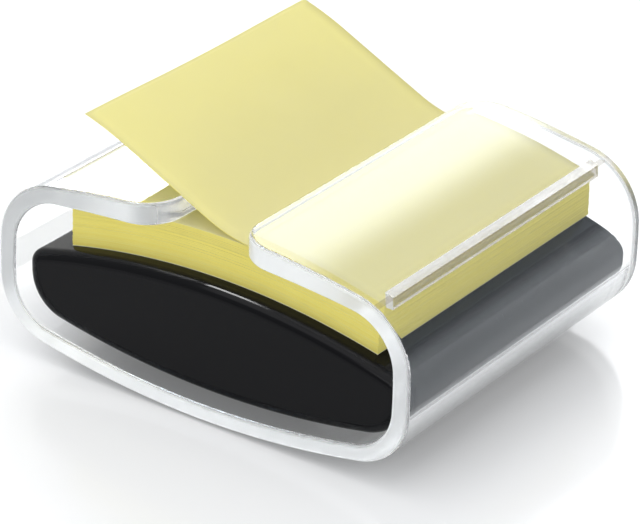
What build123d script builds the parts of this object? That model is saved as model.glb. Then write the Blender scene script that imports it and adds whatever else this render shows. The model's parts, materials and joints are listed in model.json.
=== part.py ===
"""Sticky note dispenser: a clear sleeve, open at both ends and slotted along its top, round a
weighted base that slides out like a drawer and carries a bowed pad of pop-up notes.

Millimetres. X runs along the front, Y from front to back and Z up. The origin lies on the table,
under the middle of the sleeve.
"""

import math
import os

from build123d import *

os.makedirs("parts", exist_ok=True)

# Notes and pad
note_size = 76.2  # side of a square note, laid flat
note_thickness = 0.12
pad_thickness = 9.2  # a full stack
pad_liner_thickness = 0.1  # sheet that covers the last note's adhesive
platform_radius = 165.0  # bow of the pad, and of the base's top under it
paper_gap = 0.05  # air between paper and what it lies on

# Popped-up note
lift_radius = 31.0  # bend where the sheet leaves the pad
flap_slope = 25.5  # degrees, of the straight stretch that leans on the left lip
end_radius = 65.0  # bend near the free edge
end_droop = 10.0  # degrees that the free edge falls back
lip_clearance = 0.2  # sheet to the left lip's rounded edge
crease_gap = 0.05  # between the stuck and the free part of the sheet

# Sleeve
sleeve_wall = 3.6  # at the floor
side_wall = 4.0
side_room = 8.74  # pad's edge to the wall beside it
headroom = 1.1  # pad's top to the ceiling, at the middle
crown_wall = 5.05  # wall at the middle of the top, thicker for the lips
crown_radius = 196.0
ceiling_radius = 290.0  # flatter than the crown, so the top thins towards its sides
floor_radius = 193.0
side_radius = 120.0
side_height = 20.1  # widest line over the lowest line
upper_corner_radius = 15.0
lower_corner_radius = 13.8
slot_width = 18.2
slot_shift = 0.8  # slot's middle, to the left of the sleeve's
lip_corner_radius = 8.0  # the lips' ends, seen from above
rim_radius = 0.8  # round of every free edge
guide_rib_width = 1.6
guide_rib_overlap = 0.1  # how far a rib reaches below the pad's upper edge
guide_rib_clearance = 0.4  # rib to the pad's edge

# Sleeve feet
foot_stand = 0.5  # table to the lowest line of the sleeve
foot_diameter = 9.0
foot_spacing_x = 48.0
foot_end_distance = 16.0  # foot's middle to the sleeve's end
foot_round = 0.4
glue_gap = 0.05

# Base
front_recess = 3.7  # sleeve's front to the base's front
back_recess = 2.55
pad_setback = 4.4  # base's front to the pad's front
base_height = 24.3
drawer_clearance = 0.3  # base to the sleeve, all round
shoulder_radius = 3.2
front_round = 2.5
back_round = 1.0
housing_wall = 2.2

# Bottom cover and its screws
cover_end_distance = 6.7  # base's end to the cover's
cover_corner_radius = 4.0
cover_thickness = 3.0
cover_clearance = 0.2
boss_diameter = 7.0
screw_side_distance = 5.0  # screw's middle to the cover's side
screw_end_distance = 6.0  # screw's middle to the cover's end
seat_rise = 0.4  # flat seats under the bosses, over the cover
screw_diameter = 2.5
screw_length = 10.0
screw_head_diameter = 5.0
screw_head_height = 1.2
screw_head_recess = 0.4
screw_slot_width = 0.8
screw_slot_depth = 0.6
pilot_clearance = 0.05
pilot_spare_depth = 1.5
shank_clearance = 0.3
head_clearance = 0.4

# Ballast
ballast_width = 52.0
ballast_corner_radius = 3.0
ballast_end_clearance = 4.5  # plates to the housing's end walls
ballast_headroom = 6.1  # plates to the platform's underside, at the middle
boss_clearance = 1.5  # plates to the screw bosses beside them
foam_thickness = 1.0
foam_width = 6.0
rail_spacing = 36.0  # between the two rails that carry the ballast
rail_height = 2.2  # over the cover, at the middle of the base
holder_width = 2.0  # ribs that hold the ballast down
holder_length = 40.0

# Glide strips
glide_width = 8.0
glide_length = 50.0
glide_spacing = 18.0
glide_depth = 0.7  # let into the cover
glide_proud = 0.1  # standing out of the cover

overrun = 5.0  # how far a cut runs past what it cuts


def arc_rise(radius, reach):
    """How far an arc falls from its crown to a point at this reach from the middle."""
    return radius - math.sqrt(radius**2 - reach**2)


# Places along X and Y
pad_half_angle = note_size / 2 / platform_radius
pad_half_width = platform_radius * math.sin(pad_half_angle)
sleeve_half_width = pad_half_width + side_room + side_wall
base_depth = note_size + pad_setback
sleeve_depth = front_recess + base_depth + back_recess
sleeve_back = sleeve_depth / 2
base_back = sleeve_back - back_recess
base_middle = base_back - base_depth / 2
pad_back = base_back
pad_middle = pad_back - note_size / 2
cover_depth = base_depth - 2 * cover_end_distance
ballast_depth = base_depth - 2 * (housing_wall + ballast_end_clearance)
boss_spacing_x = ballast_width + 2 * boss_clearance + boss_diameter
boss_spacing_y = cover_depth - 2 * screw_end_distance
cover_width = boss_spacing_x + 2 * screw_side_distance

# Heights over the table
base_inset = sleeve_wall + drawer_clearance
base_floor = foot_stand + base_inset
platform_crown = base_floor + base_height
liner_crown = platform_crown + paper_gap
pad_crown = liner_crown + pad_liner_thickness + paper_gap
pad_top = pad_crown + pad_thickness
pad_edge_top = pad_top - arc_rise(platform_radius, pad_half_width)
ceiling_crown = pad_top + headroom
sleeve_crown = ceiling_crown + crown_wall
side_middle = foot_stand + side_height


def floor_height(reach, inset):
    """Height of the sleeve's floor curve, drawn in by inset, at this reach from the middle."""
    return foot_stand + inset + arc_rise(floor_radius - inset, reach)


# Heights inside the base
cover_top = base_floor + cover_thickness
screw_reach = boss_spacing_x / 2
seat_reach = screw_reach + boss_diameter / 2
screw_seat = floor_height(seat_reach, base_inset + cover_thickness) + seat_rise
head_floor = floor_height(screw_reach, base_inset) + screw_head_recess
head_seat = head_floor + screw_head_height
screw_tip = head_seat + screw_length
rail_top = cover_top + rail_height
lower_ballast_floor = rail_top + foam_thickness
ballast_top = platform_crown - housing_wall - ballast_headroom
ballast_thickness = (ballast_top - lower_ballast_floor) / 2
upper_ballast_floor = lower_ballast_floor + ballast_thickness


# Course of the popped-up note, in the X and Z of its edge
bow_centre = pad_top - platform_radius
note_bow_radius = platform_radius + paper_gap + note_thickness / 2
lean = math.radians(flap_slope)
lip_reach = slot_shift + slot_width / 2 + rim_radius
lip_height = sleeve_crown - arc_rise(crown_radius, lip_reach) - rim_radius
lip_distance = (lip_height - bow_centre) * math.cos(lean) - lip_reach * math.sin(lean)
lean_distance = lip_distance + rim_radius + lip_clearance + note_thickness / 2
lift_turn = math.acos((lean_distance + lift_radius) / (note_bow_radius + lift_radius))
lift_angle = lean - lift_turn
crease_reach = note_bow_radius * math.sin(lift_angle)
crease_height = bow_centre + note_bow_radius * math.cos(lift_angle)
tail_length = note_bow_radius * (pad_half_angle - lift_angle) - crease_gap
end_length = end_radius * math.radians(end_droop)
straight_length = note_size - tail_length - crease_gap - lift_radius * lift_turn - end_length


def across(y):
    """Upright plane across the dispenser at depth y. Its normal points to the front."""
    return Plane.XZ.offset(-y)


def lens_outline(inset, side_inset, roof_radius, roof_crown, y):
    """The sleeve's lens shape at depth y under a given roof, its floor and sides drawn in by their insets.

    Four large discs overlap in the lens, and its corners are rounded.
    """
    with BuildSketch(across(y)) as outline:
        with Locations((0, foot_stand + floor_radius)):
            Circle(floor_radius - inset)
        with Locations((0, roof_crown - roof_radius)):
            Circle(roof_radius, mode=Mode.INTERSECT)
        for side in (-1, 1):
            with Locations((side * (sleeve_half_width - side_radius), side_middle)):
                Circle(side_radius - side_inset, mode=Mode.INTERSECT)
        fillet(outline.vertices().group_by(Axis.Y)[0], lower_corner_radius - inset)
        fillet(outline.vertices().group_by(Axis.Y)[-1], upper_corner_radius - inset)
    return outline.sketch


def sleeve_outline(inset, y):
    """The sleeve's outline at depth y, drawn in all round by inset."""
    return lens_outline(inset, inset, crown_radius - inset, sleeve_crown - inset, y)


def base_outline(inset, y):
    """The base's outline at depth y, under the sleeve's roof, drawn in all round by inset."""
    side_inset = side_wall + drawer_clearance + inset
    return lens_outline(base_inset + inset, side_inset, crown_radius, sleeve_crown, y)


def under_platform(inset):
    """Everything under the platform's arch, drawn in by inset, across the base's depth."""
    with BuildPart() as block:
        with BuildSketch(across(base_back + overrun)):
            with Locations((0, platform_crown - platform_radius)):
                Circle(platform_radius - inset)
        extrude(amount=base_depth + 2 * overrun)
    return block.part


def bowed_sheet(crown, thickness):
    """A sheet or a stack of notes, bowed over the platform, with its underside's crown at crown."""
    edge = crown - arc_rise(platform_radius, pad_half_width)
    with BuildPart() as stack:
        with BuildSketch(across(pad_back)):
            with BuildLine():
                left = (-pad_half_width, edge)
                right = (pad_half_width, edge)
                upper_left = (-pad_half_width, edge + thickness)
                upper_right = (pad_half_width, edge + thickness)
                ThreePointArc(left, (0, crown), right)
                Line(right, upper_right)
                ThreePointArc(upper_right, (0, crown + thickness), upper_left)
                Line(upper_left, left)
            make_face()
        extrude(amount=note_size)
    return stack.part


def floor_strips(width, length, inset, thickness):
    """A pair of strips that follow the base's floor: from inset, inwards by thickness."""
    with BuildPart() as strips:
        with BuildSketch():
            with Locations((0, base_middle)):
                with GridLocations(glide_spacing, 0, 2, 1):
                    Rectangle(width, length)
        extrude(amount=platform_crown)
        extrude(sleeve_outline(inset, sleeve_back), amount=sleeve_depth, mode=Mode.INTERSECT)
        inside = sleeve_outline(inset + thickness, sleeve_back)
        extrude(inside, amount=sleeve_depth, mode=Mode.SUBTRACT)
    return strips.part


def ballast_outline(height):
    """Outline of a ballast plate, laid at this height."""
    with BuildSketch(Plane.XY.offset(height)) as outline:
        with Locations((0, base_middle)):
            RectangleRounded(ballast_width, ballast_depth, ballast_corner_radius)
    return outline.sketch


# Guide ribs along the pad's upper edges, hanging from the sleeve's ceiling
with BuildPart() as guide_ribs:
    rib_spacing = 2 * (pad_half_width + guide_rib_clearance) + guide_rib_width
    with BuildSketch(Plane.XY.offset(pad_edge_top - guide_rib_overlap)):
        with Locations((0, pad_middle)):
            with GridLocations(rib_spacing, 0, 2, 1):
                Rectangle(guide_rib_width, note_size)
    extrude(amount=sleeve_crown)
    extrude(sleeve_outline(sleeve_wall / 2, sleeve_back), amount=sleeve_depth, mode=Mode.INTERSECT)

# Clear sleeve: a lens-shaped tube with a slot along its top, between two lips
with BuildPart() as clear_sleeve:
    extrude(sleeve_outline(0, sleeve_back), amount=sleeve_depth)
    bore_depth = sleeve_depth + 2 * overrun
    bore = lens_outline(sleeve_wall, side_wall, ceiling_radius, ceiling_crown, sleeve_back + overrun)
    extrude(bore, amount=bore_depth, mode=Mode.SUBTRACT)
    with BuildSketch(Plane.XY.offset(pad_top)):
        with Locations((-slot_shift, 0)):
            Rectangle(slot_width, bore_depth)
    extrude(amount=sleeve_crown, mode=Mode.SUBTRACT)
    fillet(clear_sleeve.edges().filter_by(Axis.Z), lip_corner_radius)
    lengthwise = clear_sleeve.edges().filter_by(Axis.Y)
    seams = lengthwise.filter_by(lambda edge: abs(edge.center().X) > slot_width)
    fillet(clear_sleeve.edges() - clear_sleeve.edges().filter_by(Axis.Z) - seams, rim_radius)
    add(guide_ribs.part)
clear_sleeve.part.label = "clear_sleeve"
export_step(clear_sleeve.part, "parts/clear_sleeve.step")

# Sleeve feet: thin pads that fill from the table to the sleeve's curved underside
with BuildPart() as sleeve_feet:
    foot_spacing_y = sleeve_depth - 2 * foot_end_distance
    with BuildSketch():
        with GridLocations(foot_spacing_x, foot_spacing_y, 2, 2):
            Circle(foot_diameter / 2)
    extrude(amount=base_floor)
    fillet(sleeve_feet.faces().group_by(Axis.Z)[0].edges(), foot_round)
    extrude(sleeve_outline(-glue_gap, sleeve_back), amount=sleeve_depth, mode=Mode.SUBTRACT)
sleeve_feet.part.label = "sleeve_feet"
export_step(sleeve_feet.part, "parts/sleeve_feet.step")

# Outside of the base, lens-shaped under an arched platform
with BuildPart() as base_envelope:
    extrude(base_outline(0, base_back), amount=base_depth)
    add(under_platform(0), mode=Mode.INTERSECT)
    fillet(base_envelope.edges().filter_by(Axis.Y).group_by(Axis.Z)[-1], shoulder_radius)
    fillet(base_envelope.faces().sort_by(Axis.Y)[0].edges(), front_round)
    fillet(base_envelope.faces().sort_by(Axis.Y)[-1].edges(), back_round)

# Hollow of the base
with BuildPart() as base_hollow:
    hollow_back = base_back - housing_wall
    hollow_depth = base_depth - 2 * housing_wall
    extrude(base_outline(housing_wall, hollow_back), amount=hollow_depth)
    add(under_platform(housing_wall), mode=Mode.INTERSECT)

# Base housing: open below for the cover, with screw bosses and ribs that hold the ballast down
with BuildPart() as base_housing:
    add(base_envelope.part)
    add(base_hollow.part, mode=Mode.SUBTRACT)
    with BuildSketch():
        with Locations((0, base_middle)):
            RectangleRounded(
                cover_width + 2 * cover_clearance,
                cover_depth + 2 * cover_clearance,
                cover_corner_radius + cover_clearance,
            )
    extrude(amount=screw_seat, mode=Mode.SUBTRACT)
    with BuildSketch(Plane.XY.offset(screw_seat)):
        with Locations((0, base_middle)):
            with GridLocations(boss_spacing_x, boss_spacing_y, 2, 2):
                Circle(boss_diameter / 2)
    extrude(amount=platform_crown)
    with BuildSketch(Plane.XY.offset(ballast_top)):
        with Locations((0, base_middle)):
            with GridLocations(rail_spacing, 0, 2, 1):
                Rectangle(holder_width, holder_length)
    extrude(amount=platform_crown)
    add(base_envelope.part, mode=Mode.INTERSECT)
    with BuildSketch(Plane.XY.offset(screw_seat)):
        with Locations((0, base_middle)):
            with GridLocations(boss_spacing_x, boss_spacing_y, 2, 2):
                Circle(screw_diameter / 2 + pilot_clearance)
    extrude(amount=screw_tip + pilot_spare_depth - screw_seat, mode=Mode.SUBTRACT)
base_housing.part.label = "base_housing"
export_step(base_housing.part, "parts/base_housing.step")

# Space over the bottom cover, less the rails for the ballast and the seats under the bosses
with BuildPart() as cover_space:
    cover_inside = sleeve_outline(base_inset + cover_thickness, base_back + overrun)
    extrude(cover_inside, amount=base_depth + 2 * overrun)
    with BuildSketch():
        with Locations((0, base_middle)):
            with GridLocations(rail_spacing, 0, 2, 1):
                Rectangle(foam_width, base_depth)
    extrude(amount=rail_top, mode=Mode.SUBTRACT)
    with BuildSketch():
        with Locations((0, base_middle)):
            with GridLocations(boss_spacing_x, boss_spacing_y, 2, 2):
                Circle(boss_diameter / 2)
    extrude(amount=screw_seat, mode=Mode.SUBTRACT)

# Bottom cover: follows the base's curved floor and carries the ballast
with BuildPart() as bottom_cover:
    add(base_envelope.part)
    with BuildSketch():
        with Locations((0, base_middle)):
            RectangleRounded(cover_width, cover_depth, cover_corner_radius)
    extrude(amount=platform_crown + overrun, mode=Mode.INTERSECT)
    add(cover_space.part, mode=Mode.SUBTRACT)
    with Locations(Plane((0, base_middle, foot_stand), z_dir=(0, 0, -1))):
        with GridLocations(boss_spacing_x, boss_spacing_y, 2, 2):
            CounterBoreHole(
                screw_diameter / 2 + shank_clearance,
                screw_head_diameter / 2 + head_clearance,
                head_seat - foot_stand,
            )
    bed_width = glide_width + 2 * glue_gap
    bed_length = glide_length + 2 * glue_gap
    bed_depth = glide_proud + glide_depth + glue_gap
    add(floor_strips(bed_width, bed_length, base_inset - glide_proud, bed_depth), mode=Mode.SUBTRACT)
bottom_cover.part.label = "bottom_cover"
export_step(bottom_cover.part, "parts/bottom_cover.step")

# Cover screws, heads down
with BuildPart() as cover_screws:
    with Locations((0, base_middle)):
        with GridLocations(boss_spacing_x, boss_spacing_y, 2, 2) as screw_places:
            screw_points = screw_places.locations
    with BuildSketch(Plane.XY.offset(head_floor)):
        with Locations(*screw_points):
            Circle(screw_head_diameter / 2)
    extrude(amount=screw_head_height)
    with BuildSketch(Plane.XY.offset(head_seat)):
        with Locations(*screw_points):
            Circle(screw_diameter / 2)
    extrude(amount=screw_length)
    with BuildSketch(Plane.XY.offset(head_floor)):
        with Locations(*screw_points):
            Rectangle(screw_slot_width, screw_head_diameter - 2 * screw_slot_width)
            Rectangle(screw_head_diameter - 2 * screw_slot_width, screw_slot_width)
    extrude(amount=screw_slot_depth, mode=Mode.SUBTRACT)
cover_screws.part.label = "cover_screws"
export_step(cover_screws.part, "parts/cover_screws.step")

# Glide strips under the cover
with BuildPart() as glide_strips:
    add(floor_strips(glide_width, glide_length, base_inset - glide_proud, glide_proud + glide_depth))
glide_strips.part.label = "glide_strips"
export_step(glide_strips.part, "parts/glide_strips.step")

# Foam strips on the cover's rails
with BuildPart() as foam_strips:
    with BuildSketch(Plane.XY.offset(rail_top)):
        with Locations((0, base_middle)):
            with GridLocations(rail_spacing, 0, 2, 1):
                Rectangle(foam_width, cover_depth)
    extrude(amount=foam_thickness)
foam_strips.part.label = "foam_strips"
export_step(foam_strips.part, "parts/foam_strips.step")

# Ballast plates, stacked on the foam
with BuildPart() as lower_ballast_plate:
    extrude(ballast_outline(lower_ballast_floor), amount=ballast_thickness)
lower_ballast_plate.part.label = "lower_ballast_plate"
export_step(lower_ballast_plate.part, "parts/lower_ballast_plate.step")

with BuildPart() as upper_ballast_plate:
    extrude(ballast_outline(upper_ballast_floor), amount=ballast_thickness)
upper_ballast_plate.part.label = "upper_ballast_plate"
export_step(upper_ballast_plate.part, "parts/upper_ballast_plate.step")

# Pad, on its liner
with BuildPart() as pad_liner:
    add(bowed_sheet(liner_crown, pad_liner_thickness))
pad_liner.part.label = "pad_liner"
export_step(pad_liner.part, "parts/pad_liner.step")

with BuildPart() as note_pad:
    add(bowed_sheet(pad_crown, pad_thickness))
note_pad.part.label = "note_pad"
export_step(note_pad.part, "parts/note_pad.step")

# Popped-up note: its stuck part lies on the pad, under the right lip
with BuildPart() as popped_note_tail:
    with BuildSketch(across(pad_back)):
        with BuildLine():
            tail_start = 90 - math.degrees(pad_half_angle)
            tail_sweep = math.degrees(tail_length / note_bow_radius)
            CenterArc((0, bow_centre), note_bow_radius, tail_start, tail_sweep)
        trace(line_width=note_thickness)
    extrude(amount=note_size)
popped_note_tail.part.label = "popped_note_tail"
export_step(popped_note_tail.part, "parts/popped_note_tail.step")

# Its free part bends up through the slot and leans over the left lip
with BuildPart() as popped_note_flap:
    with BuildSketch(across(pad_back)):
        with BuildLine():
            lift = JernArc(
                (crease_reach, crease_height),
                (-math.cos(lift_angle), math.sin(lift_angle)),
                lift_radius,
                -math.degrees(lift_turn),
            )
            lean_line = Line(lift @ 1, (lift @ 1) + (lift % 1) * straight_length)
            JernArc(lean_line @ 1, lean_line % 1, end_radius, end_droop)
        trace(line_width=note_thickness)
    extrude(amount=note_size)
popped_note_flap.part.label = "popped_note_flap"
export_step(popped_note_flap.part, "parts/popped_note_flap.step")
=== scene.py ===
"""Looks of a sticky note dispenser: a clear sleeve round a black base with a pad of notes.

Metres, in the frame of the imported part: X along the front, Y from front to back, Z up.
"""

import json
import math
import random

import bmesh
import bpy
from mathutils import Matrix, Vector


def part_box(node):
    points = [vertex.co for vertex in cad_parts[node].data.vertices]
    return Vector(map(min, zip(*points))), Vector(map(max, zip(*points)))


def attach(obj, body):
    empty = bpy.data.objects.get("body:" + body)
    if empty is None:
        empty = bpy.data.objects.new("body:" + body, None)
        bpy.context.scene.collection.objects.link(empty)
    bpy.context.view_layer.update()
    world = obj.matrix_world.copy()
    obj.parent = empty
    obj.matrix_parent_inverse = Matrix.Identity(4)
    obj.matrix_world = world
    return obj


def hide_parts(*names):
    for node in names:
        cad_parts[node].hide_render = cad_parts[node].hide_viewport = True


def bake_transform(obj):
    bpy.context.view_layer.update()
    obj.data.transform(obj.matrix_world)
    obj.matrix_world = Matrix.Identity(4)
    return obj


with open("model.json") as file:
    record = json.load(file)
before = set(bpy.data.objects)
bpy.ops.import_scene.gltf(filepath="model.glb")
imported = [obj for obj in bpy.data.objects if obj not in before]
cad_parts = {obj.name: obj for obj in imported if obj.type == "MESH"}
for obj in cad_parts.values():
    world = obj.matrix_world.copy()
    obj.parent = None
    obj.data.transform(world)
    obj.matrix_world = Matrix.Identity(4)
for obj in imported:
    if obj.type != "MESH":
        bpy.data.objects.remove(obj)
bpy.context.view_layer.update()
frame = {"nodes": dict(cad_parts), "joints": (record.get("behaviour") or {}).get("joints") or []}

# View of the photograph
view_target = Vector((-0.000434, 0.0, 0.018359))
view_azimuth = 34.074  # degrees, from the front towards the right
view_elevation = 26.986
view_roll = 2.0835
view_distance = 0.7559
view_lens = 204.93  # millimetres, on a sensor 36 mm wide
sensor_width = 36.0

# Sleeve
rib_reach = 0.03896  # of the middle of a guide rib, from the middle of the sleeve
rib_height = 0.03465
rib_half_width = 0.0011  # of the zone round a rib that is satin and tinted brown with painted shade
rib_half_height = 0.0016
rib_satin = 0.6  # how satin the ribs are, where the rims have 1
shade_height = 0.02  # under which the sleeve shades the table more

# Pad of notes
note_size = 0.0762
bow_radius = 0.165  # of the arched platform that bows the pad
leaf_count = 64
leaf_gap = 0.000012
leaf_shift = 0.00008  # how far a leaf lies out of line
leaf_steps = 28
leaf_seed = 5

# Popped-up note
note_thickness = 0.00012
note_rise = 0.00011  # of the sheet's middle above the pad
lift_radius = 0.031  # where the note leaves the pad
flap_slope = math.radians(25.5)
end_radius = 0.065  # of the free end, which droops
end_droop = math.radians(10)
note_step = 0.0012
note_rows = 24  # of faces, from front to back
flat_share = 0.6  # of the note's length, after which it waves
free_end_wave = 0.00022  # how far the free end is out of flat

# Studio
floor_radius = 4.0
floor_corners = 64
floor_colour = (0.87, 0.876, 0.886, 1)
floor_glow = 0.18  # share of an even white that lifts the shadows
wall_aim = (-0.6, 0.5, 0.6)  # where the walls are brightest
wall_reach = 0.9  # cosine to that side at which they are brightest, and darkest on the other
wall_dark = 0.2
wall_bright = 0.66
screen_depth = 0.75  # of the screens' middle along Y, in a unit direction
screen_core = 0.06  # to each side of that middle, where a screen is at its full brightness
screen_reach = 0.16  # to each side, where it has faded out
low_screen = (17, 34, 0.04, 8.0)  # degrees over the left, from and to, softness and brightness
high_screen = (44, 58, 0.05, 5.6)


# Shader nodes


def node(tree, kind, settings=None, **inputs):
    """A new shader node. An input takes a value, or the output of another node."""
    made = tree.nodes.new("ShaderNode" + kind)
    for name, value in (settings or {}).items():
        setattr(made, name, value)
    for name, value in inputs.items():
        fill(tree, made.inputs[name.replace("_", " ")], value)
    return made


def fill(tree, socket, value):
    """Gives a socket a value, or links it to the output of another node."""
    if isinstance(value, bpy.types.NodeSocket):
        tree.links.new(value, socket)
    else:
        socket.default_value = value


def maths(tree, operation, *values, clamp=False):
    """The output of a Math node."""
    made = node(tree, "Math", {"operation": operation, "use_clamp": clamp})
    for socket, value in zip(made.inputs, values):
        fill(tree, socket, value)
    return made.outputs[0]


def between(tree, share, first, second):
    """The output of a colour mix: first where share is 0, second where it is 1."""
    made = node(tree, "Mix", {"data_type": "RGBA"})
    fill(tree, made.inputs["Factor"], share)
    fill(tree, made.inputs[6], first)
    fill(tree, made.inputs[7], second)
    return made.outputs[2]


def mixed(tree, share, first, second):
    """A Mix Shader node: the node first where share is 0, the node second where it is 1."""
    made = node(tree, "MixShader", Fac=share)
    fill(tree, made.inputs[1], first.outputs[0])
    fill(tree, made.inputs[2], second.outputs[0])
    return made


def span(tree, value, low, high):
    """The output of a Map Range node that takes 0 to 1 to low to high."""
    return node(tree, "MapRange", Value=value, To_Min=low, To_Max=high).outputs["Result"]


def ramp(tree, value, start, full, kind="LINEAR"):
    """The output of a Map Range node that takes start to full to 0 to 1."""
    settings = {"interpolation_type": kind}
    made = node(tree, "MapRange", settings, Value=value, From_Min=start, From_Max=full)
    return made.outputs["Result"]


def noise(tree, **inputs):
    """The output of a Noise Texture node."""
    return node(tree, "TexNoise", **inputs).outputs["Fac"]


def bumped(tree, height, strength, distance):
    """The output of a Bump node."""
    made = node(tree, "Bump", Strength=strength, Distance=distance, Height=height)
    return made.outputs["Normal"]


def on_object(tree):
    """Places on the object, in metres."""
    return node(tree, "TexCoord").outputs["Object"]


def facing(tree, axis):
    """How far the surface faces along an axis: 1 along it, -1 against it."""
    normal = node(tree, "NewGeometry").outputs["Normal"]
    return node(tree, "SeparateXYZ", Vector=normal).outputs[axis]


def shader_group(name, inputs, outputs):
    """An empty node group with named values in and out, as (group, its inputs, its outputs)."""
    made = bpy.data.node_groups.new(name, "ShaderNodeTree")
    for label, value in inputs.items():
        socket = made.interface.new_socket(label, in_out="INPUT", socket_type="NodeSocketFloat")
        socket.default_value = value
    for label in outputs:
        made.interface.new_socket(label, in_out="OUTPUT", socket_type="NodeSocketFloat")
    given = made.nodes.new("NodeGroupInput").outputs
    return made, given, made.nodes.new("NodeGroupOutput").inputs


def place_group(tree, group, **values):
    """A group placed in a material with its own values."""
    return node(tree, "Group", {"node_tree": group}, **values).outputs


# Effects that finishes share


def make_fibres():
    """Paper: a fine felt of fibres, and cloudy patches where the sheet is thicker."""
    group, given, made = shader_group(
        "paper_fibres", {"Fibre Scale": 2200.0, "Cloud Scale": 90.0}, ("Fibre", "Cloud", "Height")
    )
    place = on_object(group)
    turned = node(group, "Mapping", Vector=place, Rotation=(0.4, 0.9, 0.7), Scale=(1.0, 0.3, 1.0))
    felt = noise(
        group,
        Vector=turned.outputs["Vector"],
        Scale=given["Fibre Scale"],
        Detail=4.0,
        Roughness=0.65,
    )
    cloud = noise(group, Vector=place, Scale=given["Cloud Scale"], Detail=2.0)
    fill(group, made["Fibre"], felt)
    fill(group, made["Cloud"], cloud)
    fill(group, made["Height"], maths(group, "ADD", felt, cloud))
    return group


def make_moulding():
    """Moulded plastic: slow waves from the cooling and a fine grain from the tool."""
    group, given, made = shader_group(
        "moulding_marks", {"Wave Scale": 45.0, "Grain Scale": 5200.0}, ("Wave", "Grain", "Height")
    )
    place = on_object(group)
    wave = noise(group, Vector=place, Scale=given["Wave Scale"], Detail=1.0)
    grain = noise(group, Vector=place, Scale=given["Grain Scale"], Detail=2.0)
    fill(group, made["Wave"], wave)
    fill(group, made["Grain"], grain)
    fill(group, made["Height"], maths(group, "ADD", wave, maths(group, "MULTIPLY", grain, 0.25)))
    return group


def make_dust():
    """Dust that settles in specks on what faces up, and smears from handling all over."""
    group, given, made = shader_group(
        "settled_dust", {"Speck Scale": 900.0, "Smear Scale": 60.0}, ("Specks", "Smears")
    )
    place = on_object(group)
    speck = node(group, "TexVoronoi", Vector=place, Scale=given["Speck Scale"], Randomness=1.0)
    near = ramp(group, speck.outputs["Distance"], 0.10, 0.04)
    upward = ramp(group, facing(group, "Z"), 0.3, 0.95)
    some = ramp(group, noise(group, Vector=place, Scale=140.0, Detail=3.0), 0.52, 0.7)
    there = maths(group, "MULTIPLY", near, upward)
    fill(group, made["Specks"], maths(group, "MULTIPLY", there, some))
    smear = noise(group, Vector=place, Scale=given["Smear Scale"], Detail=5.0, Distortion=1.2)
    fill(group, made["Smears"], smear)
    return group


def make_streaks():
    """Rolled or drawn metal: streaks along X, and blotches of oil or plating."""
    group, given, made = shader_group(
        "rolled_streaks", {"Streak Scale": 900.0, "Blotch Scale": 120.0}, ("Streaks", "Blotches")
    )
    place = on_object(group)
    drawn = node(group, "Mapping", Vector=place, Scale=(0.03, 1.0, 1.0)).outputs["Vector"]
    streak = noise(group, Vector=drawn, Scale=given["Streak Scale"], Detail=5.0, Roughness=0.7)
    fill(group, made["Streaks"], streak)
    blotch = noise(group, Vector=place, Scale=given["Blotch Scale"], Detail=4.0)
    fill(group, made["Blotches"], blotch)
    return group


paper_fibres = make_fibres()
moulding_marks = make_moulding()
settled_dust = make_dust()
rolled_streaks = make_streaks()


# Finishes


def finish_tree(name):
    """An empty node material, as (material, its tree, its surface socket)."""
    made = bpy.data.materials.new(name)
    made.use_nodes = True
    tree = made.node_tree
    tree.nodes.clear()
    return made, tree, tree.nodes.new("ShaderNodeOutputMaterial").inputs["Surface"]


def cover(tree, surface, **inputs):
    """Covers a surface with one Principled shader."""
    fill(tree, surface, node(tree, "BsdfPrincipled", **inputs).outputs[0])


def clear_plastic():
    """Polished clear plastic, satin on its moulded rims and a little on its ribs, with painted
    shade as a grey tint on the rims and a brown tint on the ribs.

    Shadows and the light between pieces pass straight through it, dimmed where it is steep or low.
    """
    made, tree, surface = finish_tree("clear_plastic")
    marks = place_group(tree, moulding_marks, Wave_Scale=150.0)
    dust = place_group(tree, settled_dust, Smear_Scale=35.0)
    rim = ramp(tree, maths(tree, "ABSOLUTE", facing(tree, "Y")), 0.2, 0.8)
    ripple = maths(tree, "MULTIPLY", marks["Wave"], rim)
    place = node(tree, "SeparateXYZ", Vector=on_object(tree)).outputs
    off_middle = maths(tree, "ABSOLUTE", place["X"])
    beside = maths(tree, "COMPARE", off_middle, rib_reach, rib_half_width)
    level = maths(tree, "COMPARE", place["Z"], rib_height, rib_half_height)
    rib = maths(tree, "MULTIPLY", beside, level)
    soft = maths(tree, "MAXIMUM", rim, maths(tree, "MULTIPLY", rib, rib_satin))
    clear = between(tree, dust["Smears"], (0.975, 0.985, 0.99, 1), (0.955, 0.97, 0.98, 1))
    # Painted shade: the rims, which face front and back, are tinted grey so that they look darker.
    rims_painted_shade = between(tree, rim, clear, (0.87, 0.895, 0.91, 1))
    seen = node(
        tree,
        "BsdfPrincipled",
        # Painted shade: the ribs are tinted brown so that they look darker.
        Base_Color=between(tree, rib, rims_painted_shade, (0.6, 0.56, 0.49, 1)),
        Roughness=maths(tree, "MULTIPLY", soft, span(tree, dust["Smears"], 0.25, 0.4)),
        IOR=1.49,
        Specular_Tint=(0.2, 0.3, 0.42, 1),
        Transmission_Weight=1.0,
        Normal=bumped(tree, ripple, 0.02, 0.0004),
    )
    slant = node(tree, "LayerWeight", Blend=0.5).outputs["Facing"]
    steep = ramp(tree, slant, 0.45, 0.95, "SMOOTHSTEP")
    low = ramp(tree, place["Z"], shade_height, 0.0)
    dim = maths(tree, "ADD", steep, low, clamp=True)
    tint = between(tree, dim, (0.99, 0.992, 0.985, 1), (0.2, 0.215, 0.225, 1))
    shade = node(tree, "BsdfTransparent", Color=tint)
    path = node(tree, "LightPath").outputs
    for kind in ("Is Shadow Ray", "Is Diffuse Ray"):
        seen = mixed(tree, path[kind], seen, shade)
    fill(tree, surface, seen.outputs[0])
    return made


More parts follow.
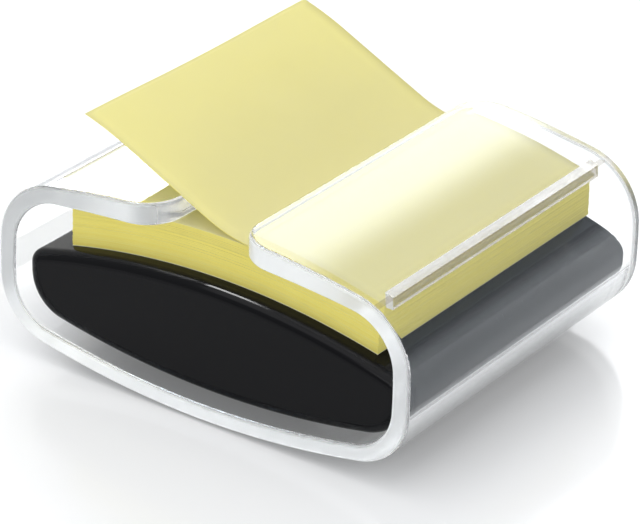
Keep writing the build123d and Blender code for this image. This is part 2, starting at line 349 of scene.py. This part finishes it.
def clear_rubber():
    """Soft clear feet, cloudy and a little grey with dust."""
    made, tree, surface = finish_tree("clear_rubber")
    dust = place_group(tree, settled_dust, Smear_Scale=300.0)
    cover(
        tree,
        surface,
        Base_Color=between(tree, dust["Smears"], (0.93, 0.95, 0.955, 1), (0.82, 0.84, 0.85, 1)),
        Roughness=span(tree, dust["Smears"], 0.15, 0.35),
        IOR=1.43,
        Transmission_Weight=0.9,
    )
    return made


def black_plastic():
    """Glossy black moulding with faint smears and a few specks of dust."""
    made, tree, surface = finish_tree("black_plastic")
    marks = place_group(tree, moulding_marks, Wave_Scale=60.0)
    dust = place_group(tree, settled_dust, Speck_Scale=700.0)
    cover(
        tree,
        surface,
        Base_Color=between(
            tree, dust["Specks"], (0.0045, 0.0046, 0.0055, 1), (0.09, 0.09, 0.095, 1)
        ),
        Roughness=span(tree, dust["Smears"], 0.06, 0.16),
        Specular_IOR_Level=0.12,
        Normal=bumped(tree, marks["Height"], 0.06, 0.0002),
    )
    return made


def cover_plastic():
    """Black moulding with a fine matte grain."""
    made, tree, surface = finish_tree("cover_plastic")
    marks = place_group(tree, moulding_marks, Grain_Scale=3000.0)
    dust = place_group(tree, settled_dust)
    cover(
        tree,
        surface,
        Base_Color=between(tree, dust["Smears"], (0.012, 0.012, 0.013, 1), (0.028, 0.028, 0.03, 1)),
        Roughness=span(tree, marks["Grain"], 0.45, 0.65),
        Normal=bumped(tree, marks["Grain"], 0.35, 0.0002),
    )
    return made


def glide_rubber():
    """Smooth dark rubber, scuffed where it slides."""
    made, tree, surface = finish_tree("glide_rubber")
    marks = place_group(tree, moulding_marks, Grain_Scale=4000.0)
    wear = place_group(tree, rolled_streaks, Streak_Scale=1500.0)
    cover(
        tree,
        surface,
        Base_Color=between(tree, wear["Streaks"], (0.03, 0.03, 0.032, 1), (0.075, 0.075, 0.08, 1)),
        Roughness=span(tree, wear["Blotches"], 0.55, 0.8),
        Normal=bumped(tree, marks["Grain"], 0.2, 0.0001),
    )
    return made


def foam():
    """Dark closed-cell foam."""
    made, tree, surface = finish_tree("foam")
    cells = node(tree, "TexVoronoi", Vector=on_object(tree), Scale=2600.0).outputs["Distance"]
    cover(
        tree,
        surface,
        Base_Color=between(tree, cells, (0.07, 0.07, 0.075, 1), (0.16, 0.16, 0.17, 1)),
        Roughness=span(tree, cells, 0.95, 0.8),
        Normal=bumped(tree, cells, 0.8, 0.0002),
    )
    return made


def steel(name, dark, bright, smooth, rough):
    """Rolled or plated steel between two tones."""
    made, tree, surface = finish_tree(name)
    rolled = place_group(tree, rolled_streaks)
    cover(
        tree,
        surface,
        Base_Color=between(tree, rolled["Blotches"], dark, bright),
        Metallic=1.0,
        Roughness=span(tree, rolled["Streaks"], smooth, rough),
        Normal=bumped(tree, rolled["Streaks"], 0.1, 0.0001),
    )
    return made


def liner_paper():
    """Smooth waxed paper, pale yellow."""
    made, tree, surface = finish_tree("liner_paper")
    felt = place_group(tree, paper_fibres)
    cover(
        tree,
        surface,
        Base_Color=between(tree, felt["Cloud"], (0.82, 0.79, 0.52, 1), (0.77, 0.74, 0.46, 1)),
        Roughness=span(tree, felt["Fibre"], 0.3, 0.5),
        Normal=bumped(tree, felt["Height"], 0.08, 0.00005),
    )
    return made


def note_paper(name, pale, deep, through, share):
    """Uncoated yellow paper between two tones, which lets some light through."""
    made, tree, surface = finish_tree(name)
    felt = place_group(tree, paper_fibres)
    face = node(
        tree,
        "BsdfPrincipled",
        Base_Color=between(tree, felt["Cloud"], pale, deep),
        Roughness=span(tree, felt["Fibre"], 0.75, 0.95),
        Specular_IOR_Level=0.2,
        Normal=bumped(tree, felt["Height"], 0.12, 0.00005),
    )
    glow = node(tree, "BsdfTranslucent", Color=through)
    fill(tree, surface, mixed(tree, share, face, glow).outputs[0])
    return made


sheet_paper = note_paper(
    "note_paper", (0.9, 0.865, 0.525, 1), (0.88, 0.845, 0.49, 1), (0.93, 0.875, 0.04, 1), 0.42
)
cut_paper = note_paper(
    "cut_paper", (0.91, 0.805, 0.2, 1), (0.87, 0.76, 0.165, 1), (1, 0.9, 0.1, 1), 0.06
)
plate_steel = steel("ballast_steel", (0.36, 0.36, 0.37, 1), (0.46, 0.46, 0.47, 1), 0.3, 0.5)
zinc_steel = steel("screw_steel", (0.52, 0.52, 0.53, 1), (0.62, 0.61, 0.58, 1), 0.25, 0.4)


def dress(name, finish):
    """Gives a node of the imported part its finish."""
    slots = frame["nodes"][name].data.materials
    slots.clear()
    slots.append(finish)


dress("clear_sleeve", clear_plastic())
dress("sleeve_feet", clear_rubber())
dress("base_housing", black_plastic())
dress("bottom_cover", cover_plastic())
dress("cover_screws", zinc_steel)
dress("glide_strips", glide_rubber())
dress("foam_strips", foam())
dress("lower_ballast_plate", plate_steel)
dress("upper_ballast_plate", plate_steel)
dress("pad_liner", liner_paper())


# Paper


def bow_drop(x):
    """How far the bow of the pad has dropped from its crown at a place along the front."""
    return bow_radius - math.sqrt(bow_radius**2 - x**2)


def add_sheet(mesh, upper, lower, front, back, rows=1, bend=None):
    """Adds a closed thin sheet to a mesh: two lines of (x, z) places, drawn out from front to back.

    bend(share along the line, share from front to back) gives how far a place lies above its line.
    The cut edges take the second finish.
    """
    count = len(upper)
    grids = []
    for line in (upper, lower):
        grid = []
        for row in range(rows + 1):
            depth = row / rows
            y = front + (back - front) * depth
            for step, (x, z) in enumerate(line):
                lift = bend(step / (count - 1), depth) if bend else 0.0
                grid.append(mesh.verts.new((x, y, z + lift)))
        grids.append(grid)
    top, under = grids

    def quad(corners, finish):
        face = mesh.faces.new(corners)
        face.material_index = finish
        face.smooth = finish == 0

    for row in range(rows):
        for step in range(count - 1):
            near, far = row * count + step, (row + 1) * count + step
            quad((top[near], top[near + 1], top[far + 1], top[far]), 0)
            quad((under[near], under[far], under[far + 1], under[near + 1]), 0)
    for step in range(count - 1):
        last = rows * count + step
        quad((top[step], under[step], under[step + 1], top[step + 1]), 1)
        quad((top[last], top[last + 1], under[last + 1], under[last]), 1)
    for row in range(rows):
        for end in (0, count - 1):
            near, far = row * count + end, (row + 1) * count + end
            corners = (top[near], top[far], under[far], under[near])
            quad(corners if end == 0 else corners[::-1], 1)


def paper_piece(name, mesh):
    """Turns a mesh of sheets into a piece of the object, with paper faces and cut edges."""
    bmesh.ops.recalc_face_normals(mesh, faces=mesh.faces)
    data = bpy.data.meshes.new(name)
    mesh.to_mesh(data)
    mesh.free()
    data.materials.append(sheet_paper)
    data.materials.append(cut_paper)
    piece = bpy.data.objects.new(name, data)
    bpy.context.scene.collection.objects.link(piece)
    return piece


def stack_of_notes():
    """The pad: a stack of bowed leaves, each a little out of line with the others."""
    low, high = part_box("note_pad")
    half_width = high.x
    under_crown = low.z + bow_drop(half_width)
    pitch = (high.z - under_crown) / leaf_count
    chance = random.Random(leaf_seed)
    mesh = bmesh.new()
    for leaf in range(leaf_count):
        shift_x = chance.uniform(-leaf_shift, leaf_shift)
        shift_y = chance.uniform(-leaf_shift, leaf_shift)
        lower = []
        for step in range(leaf_steps + 1):
            x = half_width * (2 * step / leaf_steps - 1)
            lower.append((x + shift_x, under_crown + leaf * pitch - bow_drop(x)))
        upper = [(x, z + pitch - leaf_gap) for x, z in lower]
        add_sheet(mesh, upper, lower, low.y + shift_y, high.y + shift_y)
    piece = paper_piece("note_stack", mesh)
    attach(piece, "drawer")
    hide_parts("note_pad")


def note_line(crease, half_width):
    """Places (x, z) and slopes along the popped-up note, from its stuck end to its free end."""
    note_bow = bow_radius + note_rise
    slope = math.asin(half_width / note_bow)
    crease_slope = math.asin(crease.x / note_bow)
    centre_z = crease.z - note_bow * math.cos(crease_slope)
    tail = note_bow * (slope - crease_slope)
    lift = lift_radius * (flap_slope - crease_slope)
    end = end_radius * end_droop
    straight = note_size - tail - lift - end
    x, z = half_width, centre_z + note_bow * math.cos(slope)
    places = [(x, z, slope)]
    for length, turn in (
        (tail, -1 / note_bow),
        (lift, 1 / lift_radius),
        (straight, 0.0),
        (end, -1 / end_radius),
    ):
        steps = max(1, round(length / note_step))
        stride = length / steps
        for _ in range(steps):
            middle = slope + turn * stride / 2
            x -= stride * math.cos(middle)
            z += stride * math.sin(middle)
            slope += turn * stride
            places.append((x, z, slope))
    return places


def popped_note():
    """The note that stands up through the slot: one sheet, held on the pad by its right part."""
    low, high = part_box("popped_note_tail")
    crease = Vector(next(j for j in frame["joints"] if j["name"] == "note_lift")["pos_m"])
    places = note_line(crease, high.x)
    half = note_thickness / 2
    upper = [(x + half * math.sin(slope), z + half * math.cos(slope)) for x, z, slope in places]
    lower = [(x - half * math.sin(slope), z - half * math.cos(slope)) for x, z, slope in places]

    def wave(along, depth):
        """Still on the pad, and a little out of flat at the free end."""
        free = max(0.0, (along - flat_share) / (1 - flat_share))
        return free_end_wave * free**2 * math.cos(math.tau * depth)

    mesh = bmesh.new()
    add_sheet(mesh, upper, lower, low.y, high.y, note_rows, wave)
    piece = paper_piece("popped_note", mesh)
    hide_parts("popped_note_tail", "popped_note_flap")
    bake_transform(piece)


stack_of_notes()
popped_note()


# Studio


def pale_floor():
    """A plain pale floor with a soft gloss."""
    bpy.ops.mesh.primitive_circle_add(
        vertices=floor_corners, radius=floor_radius, fill_type="NGON"
    )
    floor = bpy.context.object
    floor.name = "floor"
    made, tree, surface = finish_tree("floor")
    sheen = noise(tree, Vector=on_object(tree), Scale=3.0, Detail=3.0)
    board = node(
        tree,
        "BsdfPrincipled",
        Base_Color=floor_colour,
        Roughness=span(tree, sheen, 0.12, 0.2),
        Specular_IOR_Level=0.4,
    )
    glow = node(tree, "Emission", Color=(1, 1, 1, 1), Strength=1.0)
    fill(tree, surface, mixed(tree, floor_glow, board, glow).outputs[0])
    floor.data.materials.append(made)


def studio_world():
    """Light from a pale room, darker in front and on the right, with two bright screens behind.

    The camera sees the room white, also through clear plastic.
    """
    world = bpy.data.worlds.new("studio")
    world.use_nodes = True
    bpy.context.scene.world = world
    tree = world.node_tree
    tree.nodes.clear()
    surface = tree.nodes.new("ShaderNodeOutputWorld").inputs["Surface"]
    direction = node(tree, "TexCoord").outputs["Generated"]

    def towards(aim, start, full):
        """0 to 1 as a direction comes nearer to aim: from the cosine start to the cosine full."""
        made = node(tree, "VectorMath", {"operation": "DOT_PRODUCT"})
        fill(tree, made.inputs[0], direction)
        fill(tree, made.inputs[1], Vector(aim).normalized())
        return ramp(tree, made.outputs["Value"], start, full, "SMOOTHSTEP")

    depth = node(tree, "SeparateXYZ", Vector=direction).outputs["Y"]
    off_middle = maths(tree, "ABSOLUTE", maths(tree, "SUBTRACT", depth, screen_depth))
    band = ramp(tree, off_middle, screen_reach, screen_core, "SMOOTHSTEP")
    light = span(tree, towards(wall_aim, -wall_reach, wall_reach), wall_dark, wall_bright)
    for low, high, soft, brightness in (low_screen, high_screen):
        edges = []
        for angle in (low, high):
            turn = math.radians(angle)
            edges.append(towards((math.sin(turn), 0, math.cos(turn)), -soft, soft))
        pane = maths(tree, "MULTIPLY", maths(tree, "SUBTRACT", *edges), band)
        light = maths(tree, "ADD", light, maths(tree, "MULTIPLY", pane, brightness))
    room = node(tree, "Background", Color=(0.97, 0.985, 1, 1), Strength=light)
    white = node(tree, "Background", Color=(1, 1, 1, 1), Strength=1.0)
    path = node(tree, "LightPath").outputs
    seen = maths(tree, "MAXIMUM", path["Is Camera Ray"], path["Is Transmission Ray"])
    fill(tree, surface, mixed(tree, seen, room, white).outputs[0])


def softbox(name, place, size, radiance, sheen_only=False):
    """A rectangular lamp of an even brightness, aimed at the object and not seen by the camera.

    One for sheen only shows in glossy surfaces, and lights nothing else.
    """
    lamp = bpy.data.lights.new(name, "AREA")
    lamp.shape = "RECTANGLE"
    lamp.size, lamp.size_y = size
    lamp.energy = radiance * math.pi * size[0] * size[1]
    made = bpy.data.objects.new(name, lamp)
    made.location = place
    made.rotation_euler = (-Vector(place)).to_track_quat("-Z", "Y").to_euler()
    made.visible_camera = False
    made.visible_diffuse = not sheen_only
    made.visible_transmission = not sheen_only
    bpy.context.scene.collection.objects.link(made)


def photograph_camera():
    """A camera where the photograph was taken from."""
    azimuth = math.radians(view_azimuth)
    elevation = math.radians(view_elevation)
    roll = math.radians(view_roll)
    side = Vector((math.cos(azimuth), math.sin(azimuth), 0))
    rise = Vector(
        (
            -math.sin(azimuth) * math.sin(elevation),
            math.cos(azimuth) * math.sin(elevation),
            math.cos(elevation),
        )
    )
    back = side.cross(rise)
    right = side * math.cos(roll) + rise * math.sin(roll)
    up = rise * math.cos(roll) - side * math.sin(roll)
    lens = bpy.data.cameras.new("camera")
    lens.lens = view_lens
    lens.sensor_width = sensor_width
    camera = bpy.data.objects.new("camera", lens)
    turned = Matrix((right, up, back)).transposed().to_4x4()
    camera.matrix_world = Matrix.Translation(view_target + back * view_distance) @ turned
    bpy.context.scene.collection.objects.link(camera)
    bpy.context.scene.camera = camera


pale_floor()
studio_world()
softbox("overhead", (-0.1, -0.7, 1.4), (1.6, 1.6), 1.35)
softbox("front", (0.1, -1.2, 0.55), (0.8, 0.5), 2.6)
softbox("right", (1.2, -0.3, 0.8), (1.0, 1.0), 1.9)
softbox("key", (-0.62, -0.08, 1.05), (0.3, 0.3), 3.0)
softbox("edge_light", (-0.635, -0.04, 1.05), (0.26, 0.3), 36.0, sheen_only=True)
photograph_camera()
bpy.context.scene.view_settings.view_transform = "Standard"
paths = bpy.context.scene.cycles
paths.max_bounces = 40
paths.glossy_bounces = 32
paths.transmission_bounces = 40
